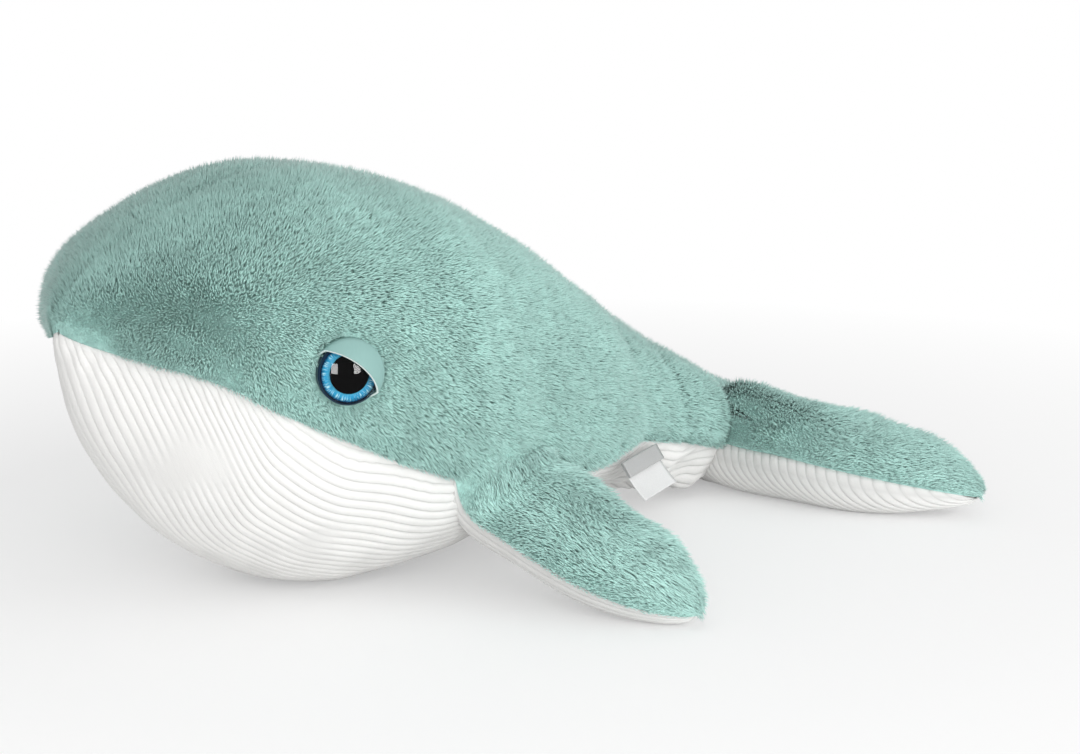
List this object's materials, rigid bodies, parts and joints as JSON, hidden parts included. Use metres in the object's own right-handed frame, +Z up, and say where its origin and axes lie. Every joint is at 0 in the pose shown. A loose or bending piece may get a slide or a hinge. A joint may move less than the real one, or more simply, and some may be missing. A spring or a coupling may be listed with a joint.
{
  "type": "stuffed toy whale",
  "caption": "Stuffed plush whale lying on its belly, with a green pile back, a ribbed white belly, two flippers, a flat forked tail and domed blue eyes under plastic lids",
  "frame": {"origin": "bottom centre of the bounding box, on the surface that the whale lies on", "axes": "+X from the nose to the tail, +Z up; the whale's left side faces -Y"},
  "size_m": [0.4064, 0.317, 0.1698],
  "materials": {
    "pile": "sea-green plush pile, brushed, about 6 mm deep",
    "corduroy": "white wide-wale corduroy",
    "filling": "white polyester fibre filling",
    "iris": "printed blue disc",
    "pupil": "black disc",
    "lens": "clear polished plastic dome",
    "backing": "dark plastic",
    "washer": "natural plastic",
    "eyelid": "smooth sea-green plastic, satin",
    "label": "pale satin ribbon"
  },
  "bodies": {
    "body": {"back_panel_left": "pile", "back_panel_right": "pile", "belly_panel": "corduroy", "body_filling": "filling", "eye_backing_left": "backing", "eye_iris_left": "iris", "eye_pupil_left": "pupil", "eye_lens_left": "lens", "eye_washer_left": "washer", "eyelid_left": "eyelid", "eye_backing_right": "backing", "eye_iris_right": "iris", "eye_pupil_right": "pupil", "eye_lens_right": "lens", "eye_washer_right": "washer", "eyelid_right": "eyelid"},
    "flipper_left": {"flipper_top_left": "pile", "flipper_underside_left": "corduroy", "flipper_filling_left": "filling"},
    "flipper_right": {"flipper_top_right": "pile", "flipper_underside_right": "corduroy", "flipper_filling_right": "filling"},
    "fluke_left": {"fluke_top_left": "pile", "fluke_underside_left": "corduroy", "fluke_filling_left": "filling"},
    "fluke_right": {"fluke_top_right": "pile", "fluke_underside_right": "corduroy", "fluke_filling_right": "filling"},
    "label": {"label_band": "label", "care_label": "label"}
  },
  "joints": [
    {"name": "flipper_left_lift", "type": "hinge", "parent": "body", "child": "flipper_left", "pos_m": [-0.0377, -0.07924, 0.05932], "axis": [-0.9784, -0.1473, -0.1447], "range_deg": [0, 50]},
    {"name": "flipper_right_lift", "type": "hinge", "parent": "body", "child": "flipper_right", "pos_m": [-0.0377, 0.07924, 0.05932], "axis": [0.9784, -0.1473, 0.1447], "range_deg": [0, 50]},
    {"name": "fluke_left_lift", "type": "hinge", "parent": "body", "child": "fluke_left", "pos_m": [0.13657, 0, 0.04078], "axis": [0, -1, 0], "range_deg": [0, 40]},
    {"name": "fluke_right_lift", "type": "hinge", "parent": "body", "child": "fluke_right", "pos_m": [0.13657, 0, 0.04078], "axis": [0, -1, 0], "range_deg": [0, 40]},
    {"name": "label_lift", "type": "hinge", "parent": "body", "child": "label", "pos_m": [0.05612, -0.04284, 0.03643], "axis": [-0.9261, -0.3753, -0.0389], "range_deg": [0, 100]}
  ]
}
